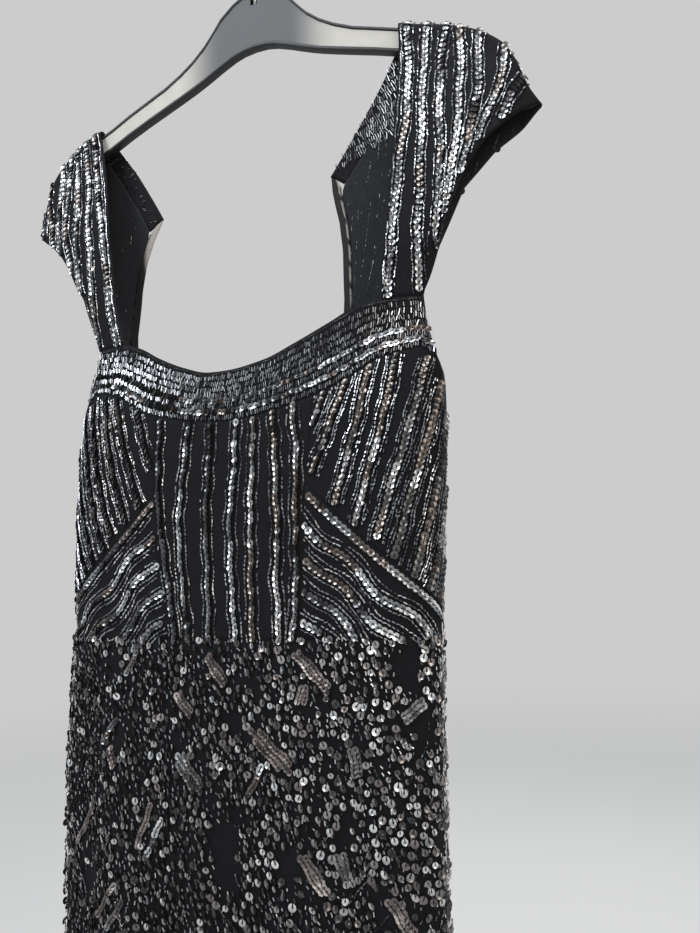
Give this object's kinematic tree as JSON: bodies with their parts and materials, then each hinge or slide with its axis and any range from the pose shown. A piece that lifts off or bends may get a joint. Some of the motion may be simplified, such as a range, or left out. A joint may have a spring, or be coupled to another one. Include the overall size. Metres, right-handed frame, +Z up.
{
  "type": "beaded dress on a hanger",
  "caption": "Beaded knee-length sheath dress with pointed cap sleeves, a banded neckline and an open back, hanging on a plastic hanger with a metal hook.",
  "frame": {"origin": "inside top of the hanger's hook, where it rests on a rail", "axes": "+X to the viewer's right as the front is seen, +Z up, the front of the dress faces -Y"},
  "size_m": [0.501, 0.1043, 1.1936],
  "materials": {
    "beaded_net": "black net worked all over with silver and dark sequins and short glass beads",
    "black_binding": "plain black edge binding",
    "hanger_plastic": "smooth black moulded plastic",
    "hook_metal": "bright plated wire"
  },
  "bodies": {
    "root": {"front_neck_band": "beaded_net", "front_center_panel": "beaded_net", "bust_panel_left": "beaded_net", "bust_panel_right": "beaded_net", "midriff_panel_left": "beaded_net", "midriff_panel_right": "beaded_net", "front_strap_left": "beaded_net", "front_strap_right": "beaded_net", "back_bodice_left": "beaded_net", "back_bodice_right": "beaded_net", "back_neck_band_left": "beaded_net", "back_neck_band_right": "beaded_net", "back_binding_left": "black_binding", "back_binding_right": "black_binding", "skirt_front": "beaded_net", "skirt_back": "beaded_net", "hanger_body": "hanger_plastic", "hanger_hook": "hook_metal"}
  },
  "joints": []
}
